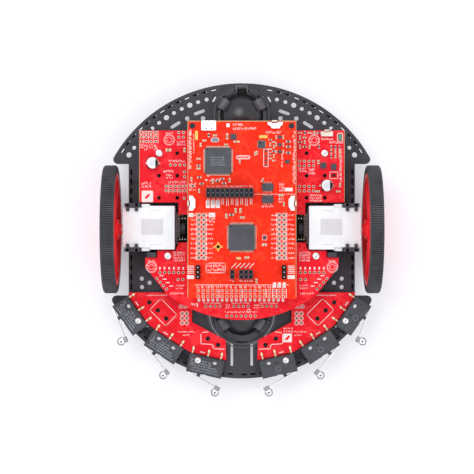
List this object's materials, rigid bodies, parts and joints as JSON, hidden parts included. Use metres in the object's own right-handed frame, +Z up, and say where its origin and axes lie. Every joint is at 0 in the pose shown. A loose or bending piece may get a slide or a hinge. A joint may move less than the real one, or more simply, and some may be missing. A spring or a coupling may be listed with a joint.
{
  "type": "line follower robot",
  "caption": "Round two-wheeled classroom robot with stacked circuit boards, ball casters, front bump switches and a line sensor.",
  "frame": {"origin": "on the floor, under the middle of the bounding box", "axes": "+Z up, the bump switches face -Y, the wheels stand at -X and +X"},
  "size_m": [0.1508, 0.1734, 0.07],
  "materials": {
    "chassis_black": "moulded black ABS, fine spark-eroded grain",
    "switch_black": "black thermoset switch case",
    "gearbox_white": "white moulded nylon",
    "board_red": "crimson solder resist over glass laminate",
    "board_orange": "orange-red solder resist over glass laminate",
    "wheel_red": "red moulded ABS",
    "tyre_rubber": "ribbed silicone rubber",
    "connector_black": "black connector plastic",
    "button_cream": "cream button plastic",
    "roller_cream": "white acetal",
    "roller_grey": "grey acetal",
    "ball_white": "white acetal ball",
    "cell_jacket": null,
    "motor_can": "zinc plated steel",
    "magnet_dark": "dark ferrite disc on a steel shaft",
    "axle_steel": "turned steel",
    "lever_steel": "stainless spring strip"
  },
  "bodies": {
    "chassis": {"chassis_base": "chassis_black", "battery_cells_right": "cell_jacket", "gearbox_right": "gearbox_white", "motor_right": "motor_can", "encoder_board_right": "board_red", "motor_clip_right": "chassis_black", "bump_board_right": "board_red", "stacking_header_right": "connector_black", "bump_switch_right_1": "switch_black", "bump_switch_right_2": "switch_black", "bump_switch_right_3": "switch_black", "battery_cells_left": "cell_jacket", "gearbox_left": "gearbox_white", "motor_left": "motor_can", "encoder_board_left": "board_red", "motor_clip_left": "chassis_black", "bump_board_left": "board_red", "stacking_header_left": "connector_black", "bump_switch_left_1": "switch_black", "bump_switch_left_2": "switch_black", "bump_switch_left_3": "switch_black", "control_board": "board_red", "processor_board": "board_orange", "line_sensor_board": "board_red", "caster_retainer_rear": "chassis_black", "caster_retainer_front": "chassis_black"},
    "wheel_right_body": {"wheel_right": "wheel_red", "tyre_right": "tyre_rubber", "drive_axle_right": "axle_steel"},
    "motor_shaft_right_body": {"motor_shaft_right": "magnet_dark"},
    "wheel_left_body": {"wheel_left": "wheel_red", "tyre_left": "tyre_rubber", "drive_axle_left": "axle_steel"},
    "motor_shaft_left_body": {"motor_shaft_left": "magnet_dark"},
    "ball_rear_body": {"caster_ball_rear": "ball_white"},
    "roller_rear_1_body": {"caster_roller_rear_1": "roller_cream"},
    "roller_rear_2_body": {"caster_roller_rear_2": "roller_cream"},
    "roller_rear_3_body": {"caster_roller_rear_3": "roller_cream"},
    "ball_front_body": {"caster_ball_front": "ball_white"},
    "roller_front_1_body": {"caster_roller_front_1": "roller_cream"},
    "roller_front_2_body": {"caster_roller_front_2": "roller_cream"},
    "roller_front_3_body": {"caster_roller_front_3": "roller_cream"},
    "lever_right_1_body": {"bump_lever_right_1": "lever_steel"},
    "lever_roller_right_1_body": {"lever_roller_right_1": "roller_grey"},
    "lever_right_2_body": {"bump_lever_right_2": "lever_steel"},
    "lever_roller_right_2_body": {"lever_roller_right_2": "roller_grey"},
    "lever_right_3_body": {"bump_lever_right_3": "lever_steel"},
    "lever_roller_right_3_body": {"lever_roller_right_3": "roller_grey"},
    "lever_left_1_body": {"bump_lever_left_1": "lever_steel"},
    "lever_roller_left_1_body": {"lever_roller_left_1": "roller_grey"},
    "lever_left_2_body": {"bump_lever_left_2": "lever_steel"},
    "lever_roller_left_2_body": {"lever_roller_left_2": "roller_grey"},
    "lever_left_3_body": {"bump_lever_left_3": "lever_steel"},
    "lever_roller_left_3_body": {"lever_roller_left_3": "roller_grey"},
    "button_user_right_body": {"button_user_right": "button_cream"},
    "button_user_left_body": {"button_user_left": "button_cream"},
    "button_reset_body": {"button_reset": "button_cream"},
    "button_power_body": {"button_power": "button_cream"},
    "door_body": {"battery_door": "chassis_black"}
  },
  "joints": [
    {"name": "wheel_right_spin", "type": "hinge", "parent": "chassis", "child": "wheel_right_body", "pos_m": [0.07165, 0.00564, 0.035], "axis": [1, 0, 0], "continuous": true},
    {"name": "motor_shaft_right_spin", "type": "hinge", "parent": "chassis", "child": "motor_shaft_right_body", "pos_m": [0.0322, 0.00614, 0.035], "axis": [1, 0, 0], "continuous": true},
    {"name": "wheel_left_spin", "type": "hinge", "parent": "chassis", "child": "wheel_left_body", "pos_m": [-0.07165, 0.00564, 0.035], "axis": [1, 0, 0], "continuous": true},
    {"name": "motor_shaft_left_spin", "type": "hinge", "parent": "chassis", "child": "motor_shaft_left_body", "pos_m": [-0.0322, 0.00614, 0.035], "axis": [1, 0, 0], "continuous": true},
    {"name": "ball_rear_spin", "type": "hinge", "parent": "chassis", "child": "ball_rear_body", "pos_m": [0, 0.06904, 0.0127], "axis": [1, 0, 0], "continuous": true},
    {"name": "roller_rear_1_spin", "type": "hinge", "parent": "chassis", "child": "roller_rear_1_body", "pos_m": [0.01134, 0.07559, 0.0219], "axis": [-0.5, 0.866, 0], "continuous": true},
    {"name": "roller_rear_2_spin", "type": "hinge", "parent": "chassis", "child": "roller_rear_2_body", "pos_m": [-0.01134, 0.07559, 0.0219], "axis": [-0.5, -0.866, 0], "continuous": true},
    {"name": "roller_rear_3_spin", "type": "hinge", "parent": "chassis", "child": "roller_rear_3_body", "pos_m": [0, 0.05594, 0.0219], "axis": [1, 0, 0], "continuous": true},
    {"name": "ball_front_spin", "type": "hinge", "parent": "chassis", "child": "ball_front_body", "pos_m": [0, -0.04086, 0.0127], "axis": [1, 0, 0], "continuous": true},
    {"name": "roller_front_1_spin", "type": "hinge", "parent": "chassis", "child": "roller_front_1_body", "pos_m": [0.01134, -0.04741, 0.0219], "axis": [0.5, 0.866, 0], "continuous": true},
    {"name": "roller_front_2_spin", "type": "hinge", "parent": "chassis", "child": "roller_front_2_body", "pos_m": [-0.01134, -0.04741, 0.0219], "axis": [0.5, -0.866, 0], "continuous": true},
    {"name": "roller_front_3_spin", "type": "hinge", "parent": "chassis", "child": "roller_front_3_body", "pos_m": [0, -0.02776, 0.0219], "axis": [-1, 0, 0], "continuous": true},
    {"name": "lever_right_1_press", "type": "hinge", "parent": "chassis", "child": "lever_right_1_body", "pos_m": [0.07073, -0.03916, 0.0255], "axis": [0, 0, -1], "range_deg": [0, 12], "stiffness_Nm_per_rad": 0.01, "springref_deg": -8.59},
    {"name": "lever_roller_right_1_spin", "type": "hinge", "parent": "lever_right_1_body", "child": "lever_roller_right_1_body", "pos_m": [0.06658, -0.05625, 0.0255], "axis": [0, 0, 1], "continuous": true},
    {"name": "lever_right_2_press", "type": "hinge", "parent": "chassis", "child": "lever_right_2_body", "pos_m": [0.05263, -0.05994, 0.0255], "axis": [0, 0, -1], "range_deg": [0, 12], "stiffness_Nm_per_rad": 0.01, "springref_deg": -8.59},
    {"name": "lever_roller_right_2_spin", "type": "hinge", "parent": "lever_right_2_body", "child": "lever_roller_right_2_body", "pos_m": [0.04345, -0.07495, 0.0255], "axis": [0, 0, 1], "continuous": true},
    {"name": "lever_right_3_press", "type": "hinge", "parent": "chassis", "child": "lever_right_3_body", "pos_m": [0.02878, -0.0736, 0.0255], "axis": [0, 0, -1], "range_deg": [0, 12], "stiffness_Nm_per_rad": 0.01, "springref_deg": -8.59},
    {"name": "lever_roller_right_3_spin", "type": "hinge", "parent": "lever_right_3_body", "child": "lever_roller_right_3_body", "pos_m": [0.01494, -0.08446, 0.0255], "axis": [0, 0, 1], "continuous": true},
    {"name": "lever_left_1_press", "type": "hinge", "parent": "chassis", "child": "lever_left_1_body", "pos_m": [-0.07073, -0.03916, 0.0255], "axis": [0, 0, 1], "range_deg": [0, 12], "stiffness_Nm_per_rad": 0.01, "springref_deg": -8.59},
    {"name": "lever_roller_left_1_spin", "type": "hinge", "parent": "lever_left_1_body", "child": "lever_roller_left_1_body", "pos_m": [-0.06658, -0.05625, 0.0255], "axis": [0, 0, 1], "continuous": true},
    {"name": "lever_left_2_press", "type": "hinge", "parent": "chassis", "child": "lever_left_2_body", "pos_m": [-0.05263, -0.05994, 0.0255], "axis": [0, 0, 1], "range_deg": [0, 12], "stiffness_Nm_per_rad": 0.01, "springref_deg": -8.59},
    {"name": "lever_roller_left_2_spin", "type": "hinge", "parent": "lever_left_2_body", "child": "lever_roller_left_2_body", "pos_m": [-0.04345, -0.07495, 0.0255], "axis": [0, 0, 1], "continuous": true},
    {"name": "lever_left_3_press", "type": "hinge", "parent": "chassis", "child": "lever_left_3_body", "pos_m": [-0.02878, -0.0736, 0.0255], "axis": [0, 0, 1], "range_deg": [0, 12], "stiffness_Nm_per_rad": 0.01, "springref_deg": -8.59},
    {"name": "lever_roller_left_3_spin", "type": "hinge", "parent": "lever_left_3_body", "child": "lever_roller_left_3_body", "pos_m": [-0.01494, -0.08446, 0.0255], "axis": [0, 0, 1], "continuous": true},
    {"name": "button_user_right_press", "type": "slide", "parent": "chassis", "child": "button_user_right_body", "axis": [-1, 0, 0], "range_m": [0, 0.00025], "stiffness_N_per_m": 200, "springref_m": -0.001},
    {"name": "button_user_left_press", "type": "slide", "parent": "chassis", "child": "button_user_left_body", "axis": [1, 0, 0], "range_m": [0, 0.00025], "stiffness_N_per_m": 200, "springref_m": -0.001},
    {"name": "button_reset_press", "type": "slide", "parent": "chassis", "child": "button_reset_body", "axis": [0, -1, 0], "range_m": [0, 0.00025], "stiffness_N_per_m": 200, "springref_m": -0.001},
    {"name": "button_power_press", "type": "slide", "parent": "chassis", "child": "button_power_body", "axis": [0, -1, 0], "range_m": [0, 0.00025], "stiffness_N_per_m": 200, "springref_m": -0.001},
    {"name": "battery_door_swing", "type": "hinge", "parent": "chassis", "child": "door_body", "pos_m": [0, 0.03024, 0.0064], "axis": [1, 0, 0], "range_deg": [0, 95]}
  ],
  "couplings": [
    {"joint": "motor_shaft_right_spin", "follows": "wheel_right_spin", "ratio": 120},
    {"joint": "motor_shaft_left_spin", "follows": "wheel_left_spin", "ratio": 120},
    {"joint": "roller_rear_1_spin", "follows": "ball_rear_spin", "ratio": 2.1167},
    {"joint": "roller_rear_2_spin", "follows": "ball_rear_spin", "ratio": 2.1167},
    {"joint": "roller_rear_3_spin", "follows": "ball_rear_spin", "ratio": -4.2333},
    {"joint": "roller_front_1_spin", "follows": "ball_front_spin", "ratio": -2.1167},
    {"joint": "roller_front_2_spin", "follows": "ball_front_spin", "ratio": -2.1167},
    {"joint": "roller_front_3_spin", "follows": "ball_front_spin", "ratio": 4.2333}
  ]
}
